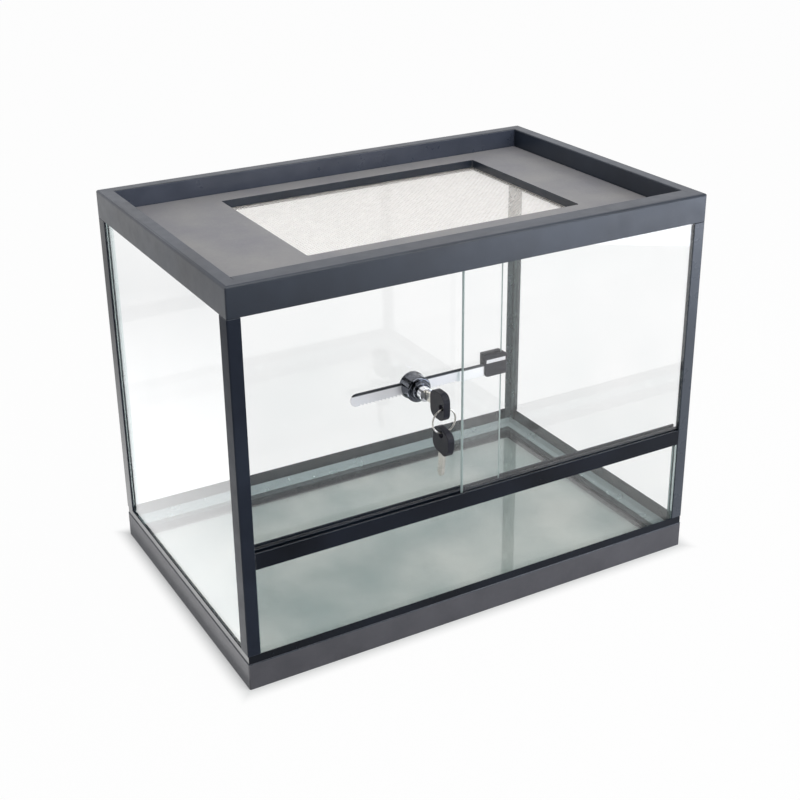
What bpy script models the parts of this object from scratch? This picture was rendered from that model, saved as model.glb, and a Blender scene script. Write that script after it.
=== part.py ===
"""Glass terrarium with a moulded black frame, a drop-in screen lid, two sliding doors and a ratchet lock.

Metres, +Z up, front towards -Y. The tank is laid out round its own base centre, and at the end the
whole assembly is moved back so that the origin is the centre of everything's footprint.
"""

import math

import bmesh
import bpy
from mathutils import Euler, Vector

# Whole tank
WIDTH = 0.400
DEPTH = 0.258
HEIGHT = 0.3116
BOTTOM_BAND = 0.028
BAND_FACE = 0.0215
BAND_STEP = 0.0006
TOP_BAND = 0.0225
SKIN = 0.0015
CORNER_ROUND = 0.0012
GAP = 0.0003

# Glass
PANE = 0.004
DOOR_PANE = 0.003
PANE_BACKING = 0.0004
SHELF_TOP = 0.008
SHELF_THICK = 0.003
SHELF_WIDTH = 0.0155
PANE_TOP_COVER = 0.0066

# Corner posts
POST_FRONT_LEG = 0.010
POST_SIDE_LEG = 0.013

# Door sill and the grooves for the doors
SILL_BOTTOM = 0.0985
SILL_TOP = 0.1115
GROOVE_DEPTH = 0.006
PANE_GROOVE_DEPTH = 0.005
RUNNING = 0.0003
DOOR_SPACING = 0.0038
SILL_WALL = 0.0015
DOOR_OVERLAP = 0.0374
HEAD_ENGAGEMENT = 0.009
HEAD_GROOVE_DEPTH = 0.0155

# Top frame
RIM = 0.0117
FRONT_RIM = 0.0163
TOP_SKIN = 0.0022
LIP_ROUND = 0.0024
RECESS = 0.0155
LEDGE = 0.008
LEDGE_THICK = 0.002

# Screen lid
LID_THICK = 0.0024
LID_PLAY = 0.0005
VENT_X = (-0.108, 0.130)
VENT_Y = (-0.060, 0.096)
VENT_WALL = 0.0018
VENT_DROP = 0.0067
FLANGE = 0.008
FLANGE_THICK = 0.0015
SLOT_LENGTH = 0.013
SLOT_WIDTH = 0.004
SLOT_Y = -0.0705
SLOT_X = (-0.116, 0.150)
MESH_THICK = 0.0008
MESH_CELLS = (20, 14)
RETAINER_WIDTH = 0.0065
RETAINER_THICK = 0.002

# Silicone seams
BEAD_LEG = 0.006
BEAD_EDGE = 0.0005
BEAD_THROAT = 0.0019

# Ratchet lock
LOCK_X = -0.0585
LOCK_Z = 0.2078
BAR_LEFT = -0.1088
BAR_INSERT = 0.0055
BAR_HEIGHT = 0.0095
BAR_THICK = 0.0016
BAR_DROP = 0.0010
TOOTH_PITCH = 0.003
TOOTH_DEPTH = 0.0013
TOOTH_SLOPE = 0.0024
TEETH_LEFT = 14
TEETH_RIGHT = 12
SLOT_PLAY = 0.00025
HOUSING_RADIUS = 0.0102
BARREL_RADIUS = 0.0097
HOUSING_LENGTH = 0.0125
HOUSING_BACK = 0.00115
COLLAR_RADIUS = 0.0069
COLLAR_LENGTH = 0.0035
PLUG_RADIUS = 0.00525
PLUG_END = 0.022
BORE_WEB = 0.00125
PAWL_WIDTH = 0.0034
PAWL_HEIGHT = 0.0032
PAWL_LIFT = 0.0012

# Clip on the free edge of the inner door
CLIP_LEFT = 0.0010
CLIP_HEIGHT = 0.0162
CLIP_RISE = 0.0021
CLIP_WEB = 0.0022
CLIP_BACK_THICK = 0.0045
CLIP_BACK_START = 0.0035
CLIP_ROUND = 0.0035

# Keys and their ring
HEAD_LENGTH = 0.0185
HEAD_WIDTH = 0.0205
HEAD_THICK = 0.0052
HEAD_ROUND = 0.006
HOLE_RADIUS = 0.0025
HOLE_FROM_END = 0.0040
BLADE_LENGTH = 0.020
BLADE_WIDTH = 0.0070
BLADE_THICK = 0.0020
BLADE_SEAT = 0.004
SHANK_SHOWING = 0.0091
RING_RADIUS = 0.0092
RING_WIRE = 0.0007
SPARE_TILT = math.radians(8)

HALF_X = WIDTH / 2
HALF_Y = DEPTH / 2
BAND_UNDERSIDE = HEIGHT - TOP_BAND
PANE_OUT = SKIN + PANE_BACKING
PANE_IN = PANE_OUT + PANE
PANE_BOTTOM = SHELF_TOP + GAP
PANE_TOP = HEIGHT - PANE_TOP_COVER
FLOOR_TOP = PANE_BOTTOM + PANE
BETWEEN_SIDES = HALF_X - PANE_IN - GAP

FRONT = -HALF_Y
OUTER_GROOVE = FRONT + SKIN
GROOVE = DOOR_PANE + 2 * RUNNING
INNER_GROOVE = OUTER_GROOVE + GROOVE + DOOR_SPACING
OUTER_DOOR_Y = OUTER_GROOVE + GROOVE / 2
INNER_DOOR_Y = INNER_GROOVE + GROOVE / 2
OUTER_DOOR_BACK = OUTER_DOOR_Y + DOOR_PANE / 2
INNER_DOOR_FRONT = INNER_DOOR_Y - DOOR_PANE / 2
INNER_DOOR_BACK = INNER_DOOR_Y + DOOR_PANE / 2
SILL_BACK = INNER_GROOVE + GROOVE + SILL_WALL
DOOR_BOTTOM = SILL_TOP - GROOVE_DEPTH + GAP
DOOR_TOP = BAND_UNDERSIDE + HEAD_ENGAGEMENT
DOOR_WIDTH = BETWEEN_SIDES + DOOR_OVERLAP / 2
DECK_TOP = HEIGHT - RECESS
LEDGE_TOP = DECK_TOP - LID_THICK - GAP
LEDGE_LOW = LEDGE_TOP - LEDGE_THICK
MESH_TOP = DECK_TOP - VENT_DROP - GAP

HOUSING_REAR = INNER_DOOR_FRONT - GAP
BAR_Y = HOUSING_REAR - HOUSING_BACK - SLOT_PLAY - BAR_THICK / 2
BAR_Z = LOCK_Z - BAR_DROP
BAR_BOTTOM = BAR_Z - BAR_HEIGHT / 2
INNER_DOOR_EDGE = DOOR_OVERLAP / 2
HOLE_FROM_SEAT = HEAD_LENGTH - HOLE_FROM_END
KEY_HOLE_Y = HOUSING_REAR - PLUG_END - SHANK_SHOWING - HOLE_FROM_SEAT
RING_SAG = RING_RADIUS - math.sqrt(RING_RADIUS**2 - (HEAD_THICK / 2) ** 2)
RING_SEAT = HOLE_RADIUS - RING_WIRE - GAP - RING_SAG
SPARE_HOLE_Z = LOCK_Z - 2 * RING_SEAT - 2 * RING_RADIUS


def clear_scene():
    for old in list(bpy.data.objects):
        bpy.data.objects.remove(old)


def new_collection(name):
    collection = bpy.data.collections.new(name)
    bpy.context.scene.collection.children.link(collection)
    return collection


def new_material(name, colour, roughness, metallic=0.0, transmission=0.0):
    material = bpy.data.materials.new(name)
    material.use_nodes = True
    shader = material.node_tree.nodes["Principled BSDF"]
    shader.inputs["Base Color"].default_value = (*colour, 1.0)
    shader.inputs["Roughness"].default_value = roughness
    shader.inputs["Metallic"].default_value = metallic
    shader.inputs["Transmission Weight"].default_value = transmission
    material.diffuse_color = (*colour, 1.0)
    return material


clear_scene()
TERRARIUM = new_collection("terrarium")
CUTTERS = new_collection("cutters")
GLASS = new_material("float_glass", (0.80, 0.90, 0.87), 0.03, transmission=0.9)
FRAME_PLASTIC = new_material("black_abs", (0.025, 0.029, 0.036), 0.38)
DECK_PLASTIC = new_material("deck_abs", (0.045, 0.045, 0.050), 0.55)
CHROME = new_material("chrome_plate", (0.80, 0.80, 0.82), 0.08, metallic=1.0)
STEEL = new_material("nickel_steel", (0.70, 0.69, 0.66), 0.25, metallic=1.0)
MESH_METAL = new_material("mesh_metal", (0.75, 0.74, 0.71), 0.35, metallic=1.0)
SILICONE = new_material("clear_silicone", (0.72, 0.78, 0.78), 0.35, transmission=0.4)
KEY_PLASTIC = new_material("key_plastic", (0.030, 0.030, 0.038), 0.45)


def finish(obj, material, collection=TERRARIUM):
    collection.objects.link(obj)
    obj.data.materials.clear()
    obj.data.materials.append(material)
    return obj


def mesh_of(obj):
    """The evaluated mesh of a curve object, welded, with its faces turned outwards."""
    bpy.context.scene.collection.objects.link(obj)
    bpy.context.view_layer.update()
    graph = bpy.context.evaluated_depsgraph_get()
    mesh = bpy.data.meshes.new_from_object(obj.evaluated_get(graph))
    curve = obj.data
    bpy.data.objects.remove(obj)
    bpy.data.curves.remove(curve)
    shape = bmesh.new()
    shape.from_mesh(mesh)
    bmesh.ops.remove_doubles(shape, verts=shape.verts, dist=1e-6)
    bmesh.ops.recalc_face_normals(shape, faces=shape.faces)
    shape.to_mesh(mesh)
    shape.free()
    return mesh


def outline_curve(name, loops):
    curve = bpy.data.curves.new(name, "CURVE")
    curve.dimensions = "2D"
    for loop in loops:
        spline = curve.splines.new("POLY")
        spline.points.add(len(loop) - 1)
        spline.use_cyclic_u = True
        for point, (x, y) in zip(spline.points, loop):
            point.co = (x, y, 0.0, 1.0)
    return curve


# How a flat outline stands: the two named axes are its own, and it is thick along the third.
FACING = {
    "XY": (0.0, 0.0, 0.0),
    "XZ": (math.pi / 2, 0.0, 0.0),
    "YZ": (math.pi / 2, 0.0, math.pi / 2),
}
THIRD = {facing: [axis in facing for axis in "XYZ"].index(False) for facing in FACING}
UPRIGHT = Euler(FACING["YZ"]).to_matrix()
HANGING = Euler((0.0, math.pi / 2, 0.0)).to_matrix()


def flat_shape(name, loops, low, high, material, facing="XY", collection=TERRARIUM):
    """A flat outline with holes, extruded from low to high along the axis that it faces."""
    curve = outline_curve(name, loops)
    curve.fill_mode = "BOTH"
    curve.extrude = (high - low) / 2
    obj = bpy.data.objects.new(name, mesh_of(bpy.data.objects.new(name, curve)))
    obj.rotation_euler = FACING[facing]
    obj.location[THIRD[facing]] = (high + low) / 2
    return finish(obj, material, collection)


def swept_frame(name, half_x, half_y, section, material):
    """A moulding whose section (inset from the outside, height) runs round a rectangle with mitred corners."""
    profile = bpy.data.objects.new(name, outline_curve(name, [section]))
    bpy.context.scene.collection.objects.link(profile)
    corners = [(-half_x, -half_y), (half_x, -half_y), (half_x, half_y), (-half_x, half_y)]
    path = outline_curve(name, [corners])
    path.fill_mode = "NONE"
    path.bevel_mode = "OBJECT"
    path.bevel_object = profile
    mesh = mesh_of(bpy.data.objects.new(name, path))
    bpy.data.objects.remove(profile)
    return finish(bpy.data.objects.new(name, mesh), material)


def block(name, low, high, material=FRAME_PLASTIC, collection=TERRARIUM):
    low, high = Vector(low), Vector(high)
    mesh = bpy.data.meshes.new(name)
    shape = bmesh.new()
    bmesh.ops.create_cube(shape, size=1.0)
    bmesh.ops.scale(shape, vec=high - low, verts=shape.verts)
    shape.to_mesh(mesh)
    shape.free()
    obj = bpy.data.objects.new(name, mesh)
    obj.location = (high + low) / 2
    return finish(obj, material, collection)


def turned(name, profile, material, steps=64):
    """A profile (radius, distance out from the lock's rear face) turned about the lock's axis."""
    mesh = bpy.data.meshes.new(name)
    edges = [(i, i + 1) for i in range(len(profile) - 1)]
    mesh.from_pydata([(radius, 0.0, out) for radius, out in profile], edges, [])
    obj = bpy.data.objects.new(name, mesh)
    screw = obj.modifiers.new("turn", "SCREW")
    screw.steps = steps
    screw.render_steps = steps
    screw.use_merge_vertices = True
    screw.merge_threshold = 0.00001
    screw.use_smooth_shade = True
    obj.rotation_euler = FACING["XZ"]
    obj.location = (LOCK_X, HOUSING_REAR, LOCK_Z)
    return finish(obj, material)


def boolean(target, tool, operation):
    """Joins or cuts target with tool, and makes tool a hidden helper."""
    modifier = target.modifiers.new(tool.name, "BOOLEAN")
    modifier.operation = operation
    modifier.object = tool
    tool.hide_render = True
    tool.display_type = "WIRE"
    for collection in list(tool.users_collection):
        collection.objects.unlink(tool)
    CUTTERS.objects.link(tool)
    return tool


def cut(target, tool):
    return boolean(target, tool, "DIFFERENCE")


def join(target, tool):
    return boolean(target, tool, "UNION")


def soften(obj, width, segments=2):
    bevel = obj.modifiers.new("soften", "BEVEL")
    bevel.width = width
    bevel.segments = segments
    bevel.limit_method = "ANGLE"
    return obj


def arc(centre_x, centre_y, radius, start, end, steps):
    """Points on an arc between two angles in degrees."""
    turn = [math.radians(start + (end - start) * i / steps) for i in range(steps + 1)]
    return [(centre_x + radius * math.cos(a), centre_y + radius * math.sin(a)) for a in turn]


def rounded(low_x, low_y, high_x, high_y, radius, steps=4):
    points = arc(low_x + radius, low_y + radius, radius, 180, 270, steps)
    points += arc(high_x - radius, low_y + radius, radius, 270, 360, steps)
    points += arc(high_x - radius, high_y - radius, radius, 0, 90, steps)
    points += arc(low_x + radius, high_y - radius, radius, 90, 180, steps)
    return points


def round_outer_corners(frame, low, high):
    """Rounds the four upright outside edges of a swept frame."""
    loop = rounded(-HALF_X, -HALF_Y, HALF_X, HALF_Y, CORNER_ROUND, 3)
    envelope = flat_shape(f"{frame.name}_envelope", [loop], low, high, FRAME_PLASTIC)
    return boolean(frame, envelope, "INTERSECT")


def bottom_frame():
    """A skirt with a shelf for the glass, an inner leg to stand on and a solid pad in each corner.

    The skirt's face steps back a little below its upper edge, which leaves a thin lip against the glass.
    """
    leg = SHELF_WIDTH - SKIN
    under = SHELF_TOP - SHELF_THICK
    section = [(0, 0), (SKIN, 0), (SKIN, under), (leg, under), (leg, 0), (SHELF_WIDTH, 0)]
    section += [(SHELF_WIDTH, SHELF_TOP), (SKIN, SHELF_TOP), (SKIN, BOTTOM_BAND)]
    lip = (SKIN - BAND_STEP) / 2
    section += arc(BAND_STEP + lip, BOTTOM_BAND - lip, lip, 90, 180, 3)
    section += [(BAND_STEP, BAND_FACE + BAND_STEP), (0, BAND_FACE)]
    frame = swept_frame("bottom_frame", HALF_X, HALF_Y, section, FRAME_PLASTIC)
    round_outer_corners(frame, -SKIN, BOTTOM_BAND + SKIN)
    inside = SKIN / 2
    for name, x in (("left", -1), ("right", 1)):
        for end, y in (("front", -1), ("back", 1)):
            corner = Vector((x * (HALF_X - inside), y * (HALF_Y - inside), 0.0))
            inner = Vector((x * (HALF_X - leg - inside), y * (HALF_Y - leg - inside), under + inside))
            low = [min(a, b) for a, b in zip(corner, inner)]
            high = [max(a, b) for a, b in zip(corner, inner)]
            join(frame, block(f"{end}_{name}_pad", low, high))
    return frame


def corner_post(name, x, y):
    """An L-shaped trim over the glass joint, rounded along its outer corner."""
    section = [(SKIN, SKIN), (POST_FRONT_LEG, SKIN), (POST_FRONT_LEG, 0)]
    section += arc(CORNER_ROUND, CORNER_ROUND, CORNER_ROUND, 270, 180, 3)
    section += [(0, POST_SIDE_LEG), (SKIN, POST_SIDE_LEG)]
    loop = [(x * (HALF_X - a), y * (HALF_Y - b)) for a, b in section]
    return flat_shape(name, [loop], BOTTOM_BAND + GAP, BAND_UNDERSIDE - GAP, FRAME_PLASTIC)


def tank_panes():
    side_y = HALF_Y - PANE_OUT + PANE_BACKING - GAP
    back = HALF_Y - PANE_OUT
    panes = []
    for name, x in (("left_pane", -1), ("right_pane", 1)):
        edges = sorted((x * (HALF_X - PANE_OUT), x * (HALF_X - PANE_IN)))
        low = (edges[0], -side_y, PANE_BOTTOM)
        panes.append(block(name, low, (edges[1], side_y, PANE_TOP), GLASS))
    low = (-BETWEEN_SIDES, back - PANE, PANE_BOTTOM)
    panes.append(block("back_pane", low, (BETWEEN_SIDES, back, PANE_TOP), GLASS))
    front = OUTER_GROOVE + GAP
    high = (BETWEEN_SIDES, front + PANE, SILL_BOTTOM + PANE_GROOVE_DEPTH - GAP)
    panes.append(block("front_lower_pane", (-BETWEEN_SIDES, front, PANE_BOTTOM), high, GLASS))
    low = (-BETWEEN_SIDES, front + PANE + GAP, PANE_BOTTOM)
    panes.append(block("floor_pane", low, (BETWEEN_SIDES, back - PANE - GAP, FLOOR_TOP), GLASS))
    return panes


def bead_section(up, along):
    """A tooled silicone fillet against two faces, with thin feathered edges."""
    section = [(0, 0), (along, 0), (along, BEAD_EDGE)]
    section += [(BEAD_THROAT * 1.6, BEAD_THROAT * 0.62), (BEAD_THROAT, BEAD_THROAT)]
    section += [(BEAD_THROAT * 0.62, BEAD_THROAT * 1.6), (BEAD_EDGE, up), (0, up)]
    return section


def silicone_seams():
    """The bead round the floor, and one up each inside corner."""
    half_y_front = -(OUTER_GROOVE + GAP + PANE + GAP)
    half_y_back = HALF_Y - PANE_OUT - PANE - GAP
    half_y = (half_y_front + half_y_back) / 2
    bottom = FLOOR_TOP + GAP
    section = [(a, bottom + b) for a, b in bead_section(BEAD_LEG + BEAD_EDGE, BEAD_LEG)]
    floor = swept_frame("floor_seam", BETWEEN_SIDES, half_y, section, SILICONE)
    floor.location.y = (half_y_back - half_y_front) / 2
    seams = [floor]
    start = bottom + BEAD_LEG + BEAD_EDGE + GAP
    tops = {"front": SILL_BOTTOM - GAP, "back": LEDGE_LOW - GAP}
    for end, y, edge in (("front", -1, half_y_front), ("back", 1, half_y_back)):
        for side, x in (("left", -1), ("right", 1)):
            loop = [(x * (BETWEEN_SIDES - a), y * (edge - b)) for a, b in bead_section(BEAD_LEG, BEAD_LEG)]
            seams.append(flat_shape(f"{end}_{side}_seam", [loop], start, tops[end], SILICONE))
    return seams


def door_sill():
    """The cross rail: two door grooves above, one groove below for the fixed pane, notched round the posts."""
    floor = SILL_TOP - GROOVE_DEPTH
    roof = SILL_BOTTOM + PANE_GROOVE_DEPTH
    under = floor - SILL_WALL
    pane_back = OUTER_GROOVE + PANE + 2 * GAP
    rib = OUTER_GROOVE + GROOVE
    section = [(FRONT, SILL_BOTTOM), (OUTER_GROOVE, SILL_BOTTOM), (OUTER_GROOVE, roof), (pane_back, roof)]
    section += [(pane_back, SILL_BOTTOM), (pane_back + SILL_WALL, SILL_BOTTOM), (pane_back + SILL_WALL, under)]
    section += [(SILL_BACK, under), (SILL_BACK, SILL_TOP), (SILL_BACK - SILL_WALL, SILL_TOP)]
    section += [(SILL_BACK - SILL_WALL, floor), (INNER_GROOVE, floor), (INNER_GROOVE, SILL_TOP)]
    section += [(rib, SILL_TOP), (rib, floor), (OUTER_GROOVE, floor), (OUTER_GROOVE, SILL_TOP), (FRONT, SILL_TOP)]
    rail = flat_shape("door_sill", [section], -BETWEEN_SIDES, BETWEEN_SIDES, FRAME_PLASTIC, "YZ")
    notch = HALF_X - POST_FRONT_LEG - GAP
    for name, x in (("left_notch", -1), ("right_notch", 1)):
        edges = sorted((x * notch, x * HALF_X))
        low = (edges[0], FRONT - SKIN, SILL_BOTTOM - SKIN)
        cut(rail, block(name, low, (edges[1], OUTER_GROOVE + GAP, SILL_TOP + SKIN)))
    return rail


def top_frame():
    """The tray rim: skirt, channel over the glass, inner wall and ledge, with the door head under its front."""
    roof = HEIGHT - TOP_SKIN
    rib = PANE_IN + GAP
    wall = RIM - SKIN
    section = [(0, BAND_UNDERSIDE), (SKIN, BAND_UNDERSIDE), (SKIN, roof), (rib, roof)]
    section += [(rib, BAND_UNDERSIDE + GROOVE_DEPTH), (rib + SKIN, BAND_UNDERSIDE + GROOVE_DEPTH)]
    section += [(rib + SKIN, roof), (wall, roof), (wall, LEDGE_LOW), (RIM + LEDGE, LEDGE_LOW)]
    section += [(RIM + LEDGE, LEDGE_TOP), (RIM, LEDGE_TOP)]
    section += arc(RIM - LIP_ROUND / 2, HEIGHT - LIP_ROUND / 2, LIP_ROUND / 2, 0, 90, 2)
    section += arc(LIP_ROUND, HEIGHT - LIP_ROUND, LIP_ROUND, 90, 180, 5)
    frame = swept_frame("top_frame", HALF_X, HALF_Y, section, FRAME_PLASTIC)
    round_outer_corners(frame, BAND_UNDERSIDE - SKIN, HEIGHT + SKIN)

    head_top = HEIGHT - TOP_SKIN / 2
    head_low = (-BETWEEN_SIDES + GAP, FRONT + SKIN / 2, BAND_UNDERSIDE + GAP)
    head_high = (BETWEEN_SIDES - GAP, FRONT + FRONT_RIM, head_top)
    join(frame, block("door_head", head_low, head_high))
    sill_low = (-(HALF_X - RIM + SKIN / 2), FRONT + RIM - SKIN, head_top - TOP_SKIN)
    join(frame, block("front_rim_fill", sill_low, (HALF_X - RIM + SKIN / 2, FRONT + FRONT_RIM, HEIGHT)))
    into_channel = BETWEEN_SIDES + PANE / 2
    for name, start in (("outer_head_groove", OUTER_GROOVE), ("inner_head_groove", INNER_GROOVE)):
        low = (-into_channel, start, BAND_UNDERSIDE - SKIN)
        cut(frame, block(name, low, (into_channel, start + GROOVE, BAND_UNDERSIDE + HEAD_GROOVE_DEPTH)))
    return frame


def screen_lid():
    """The drop-in deck with its sunk vent well, the metal mesh under the well and the ring that holds it."""
    side = HALF_X - RIM - LID_PLAY
    front = FRONT + FRONT_RIM + LID_PLAY
    back = HALF_Y - RIM - LID_PLAY
    low_x, high_x = VENT_X
    low_y, high_y = VENT_Y
    outer = rounded(-side, front, side, back, 0.002, 3)
    deck = flat_shape("lid_deck", [outer], DECK_TOP - LID_THICK, DECK_TOP, DECK_PLASTIC)

    def around_vent(name, margin, low, high):
        loop = rounded(low_x - margin, low_y - margin, high_x + margin, high_y + margin, margin + 0.0015, 3)
        return flat_shape(name, [loop], low, high, DECK_PLASTIC)

    bottom = DECK_TOP - VENT_DROP
    join(deck, around_vent("vent_wall", VENT_WALL, bottom, DECK_TOP - LID_THICK / 2))
    join(deck, around_vent("vent_flange", FLANGE, bottom, bottom + FLANGE_THICK))
    cut(deck, around_vent("vent_opening", 0.0, bottom - LID_THICK, DECK_TOP + LID_THICK))
    for name, x in zip(("left_slot", "right_slot"), SLOT_X):
        low = (x - SLOT_LENGTH / 2, SLOT_Y - SLOT_WIDTH / 2)
        loop = rounded(*low, low[0] + SLOT_LENGTH, low[1] + SLOT_WIDTH, 0.001, 2)
        cut(deck, flat_shape(name, [loop], DECK_TOP - 2 * LID_THICK, DECK_TOP + LID_THICK, DECK_PLASTIC))

    edge = FLANGE - MESH_THICK
    centre = Vector(((low_x + high_x) / 2, (low_y + high_y) / 2, MESH_TOP - MESH_THICK / 2))
    size = Vector((high_x - low_x + 2 * edge, high_y - low_y + 2 * edge, 1.0))
    mesh = bpy.data.meshes.new("screen_mesh")
    shape = bmesh.new()
    bmesh.ops.create_grid(shape, x_segments=MESH_CELLS[0], y_segments=MESH_CELLS[1], size=0.5)
    bmesh.ops.scale(shape, vec=size, verts=shape.verts)
    shape.to_mesh(mesh)
    shape.free()
    net = finish(bpy.data.objects.new("screen_mesh", mesh), MESH_METAL)
    net.location = centre
    wires = net.modifiers.new("wires", "WIREFRAME")
    wires.thickness = MESH_THICK
    wires.use_even_offset = False
    wires.use_boundary = True

    top = MESH_TOP - MESH_THICK - GAP
    section = [(0, top), (0, top - RETAINER_THICK), (RETAINER_WIDTH - 0.0008, top - RETAINER_THICK)]
    section += [(RETAINER_WIDTH, top - RETAINER_THICK + 0.0008), (RETAINER_WIDTH, top)]
    half_x = size.x / 2 + MESH_THICK / 2
    half_y = size.y / 2 + MESH_THICK / 2
    ring = swept_frame("mesh_retainer", half_x, half_y, section, DECK_PLASTIC)
    ring.location = (centre.x, centre.y, 0.0)
    return [deck, net, ring]


def door_pane(name, low_x, y):
    low = (low_x, y - DOOR_PANE / 2, DOOR_BOTTOM)
    high = (low_x + DOOR_WIDTH, y + DOOR_PANE / 2, DOOR_TOP)
    return block(name, low, high, GLASS)


def notch_places():
    """Where the upright wall of each ratchet notch stands: one is level with the pawl."""
    wall = LOCK_X - PAWL_WIDTH / 2 + SLOT_PLAY + 0.00045
    return [wall + i * TOOTH_PITCH for i in range(-TEETH_LEFT, TEETH_RIGHT + 1)]


def ratchet_bar():
    """The flat bar: round at its free end, saw teeth along its lower edge."""
    top = BAR_Z + BAR_HEIGHT / 2
    radius = BAR_HEIGHT / 2
    outline = arc(BAR_LEFT + radius, BAR_Z, radius, 90, 270, 8)
    for x in notch_places():
        outline += [(x, BAR_BOTTOM), (x, BAR_BOTTOM + TOOTH_DEPTH), (x + TOOTH_SLOPE, BAR_BOTTOM)]
    right = CLIP_LEFT + BAR_INSERT
    outline += [(right, BAR_BOTTOM), (right, top)]
    half = BAR_THICK / 2
    return flat_shape("lock_bar", [outline], BAR_Y - half, BAR_Y + half, CHROME, "XZ")


def bar_clip():
    """The moulded hook over the inner door's free edge, with a pocket that holds the end of the bar."""
    front = OUTER_DOOR_BACK + GAP
    plate_back = INNER_DOOR_FRONT - GAP
    jaw = INNER_DOOR_BACK + GAP
    back = jaw + CLIP_BACK_THICK
    web = INNER_DOOR_EDGE + GAP
    right = web + CLIP_WEB
    hook = [(CLIP_LEFT, front), (right - 0.001, front), (right, front + 0.001), (right, back - 0.0015)]
    hook += [(right - 0.0015, back), (CLIP_BACK_START, back), (CLIP_BACK_START, jaw)]
    hook += [(web, jaw), (web, plate_back), (CLIP_LEFT, plate_back)]
    bottom = BAR_Z + CLIP_RISE - CLIP_HEIGHT / 2
    clip = flat_shape("bar_clip", [hook], bottom, bottom + CLIP_HEIGHT, KEY_PLASTIC)
    margin = 0.001
    shape = rounded(CLIP_LEFT, bottom, right + margin, bottom + CLIP_HEIGHT, CLIP_ROUND, 5)
    face = flat_shape("clip_outline", [shape], front - margin, back + margin, KEY_PLASTIC, "XZ")
    boolean(clip, face, "INTERSECT")
    half = BAR_THICK / 2 + SLOT_PLAY
    low = (CLIP_LEFT - margin, BAR_Y - half, BAR_BOTTOM - SLOT_PLAY)
    high = (CLIP_LEFT + BAR_INSERT + GAP, BAR_Y + half, BAR_Z + BAR_HEIGHT / 2 + SLOT_PLAY)
    cut(clip, block("bar_pocket", low, high))
    return clip


def lock_housing():
    """The chromed body: a flanged barrel and collar, bored for the plug and slotted for the bar and pawl."""
    collar_end = HOUSING_LENGTH + COLLAR_LENGTH
    profile = [(0.0, collar_end), (COLLAR_RADIUS - 0.0005, collar_end), (COLLAR_RADIUS, collar_end - 0.0005)]
    profile += [(COLLAR_RADIUS, HOUSING_LENGTH)]
    corner = 0.0016
    profile += arc(BARREL_RADIUS - corner, HOUSING_LENGTH - corner, corner, 90, 0, 4)
    profile += [(BARREL_RADIUS, 0.0034), (HOUSING_RADIUS, 0.0028), (HOUSING_RADIUS, 0.0004)]
    profile += [(HOUSING_RADIUS - 0.0004, 0.0), (0.0, 0.0)]
    housing = turned("lock_housing", profile, CHROME)
    slot_front = HOUSING_BACK + 2 * SLOT_PLAY + BAR_THICK
    bore = PLUG_RADIUS + GAP
    bore_start = slot_front + BORE_WEB
    bore_profile = [(0.0, PLUG_END), (bore, PLUG_END), (bore, bore_start), (0.0, bore_start)]
    cut(housing, turned("plug_bore", bore_profile, CHROME))
    reach = HOUSING_RADIUS + GAP
    slot_low = HOUSING_REAR - slot_front
    slot_high = HOUSING_REAR - HOUSING_BACK
    low = (LOCK_X - reach, slot_low, BAR_BOTTOM - SLOT_PLAY)
    high = (LOCK_X + reach, slot_high, BAR_Z + BAR_HEIGHT / 2 + SLOT_PLAY)
    cut(housing, block("bar_slot", low, high))
    half = PAWL_WIDTH / 2 + GAP
    low = (LOCK_X - half, slot_low, BAR_BOTTOM - GAP - PAWL_HEIGHT)
    cut(housing, block("pawl_pocket", low, (LOCK_X + half, slot_high, BAR_Z)))
    return housing


def lock_pawl():
    """The spring dog under the bar, shown drawn back: its nose fits the notch above it when it rises."""
    half = PAWL_WIDTH / 2
    top = BAR_BOTTOM - GAP
    shoulder = top - PAWL_LIFT - GAP
    wall = -half + SLOT_PLAY + 0.00045 + GAP
    nose = 0.0016
    fall = nose * TOOTH_DEPTH / TOOTH_SLOPE
    bottom = BAR_BOTTOM - PAWL_HEIGHT
    loop = [(-half, bottom), (half, bottom), (half, shoulder), (wall + nose, shoulder)]
    loop += [(wall + nose, top - fall), (wall, top), (wall, shoulder), (-half, shoulder)]
    loop = [(LOCK_X + x, z) for x, z in loop]
    thick = BAR_THICK / 2
    return flat_shape("lock_pawl", [loop], BAR_Y - thick, BAR_Y + thick, STEEL, "XZ")


def lock_plug():
    """The turning plug with its keyway."""
    start = HOUSING_BACK + 2 * SLOT_PLAY + BAR_THICK + BORE_WEB + GAP
    edge = 0.0005
    profile = [(0.0, PLUG_END), (PLUG_RADIUS - edge, PLUG_END), (PLUG_RADIUS, PLUG_END - edge)]
    profile += [(PLUG_RADIUS, start), (0.0, start)]
    plug = turned("lock_plug", profile, CHROME)
    half_x = BLADE_THICK / 2 + GAP
    half_z = BLADE_WIDTH / 2 + GAP
    depth = BLADE_LENGTH - SHANK_SHOWING + GAP
    front = HOUSING_REAR - PLUG_END
    low = (LOCK_X - half_x, front - BLADE_SEAT, LOCK_Z - half_z)
    cut(plug, block("keyway", low, (LOCK_X + half_x, front + depth, LOCK_Z + half_z)))
    return plug


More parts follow.
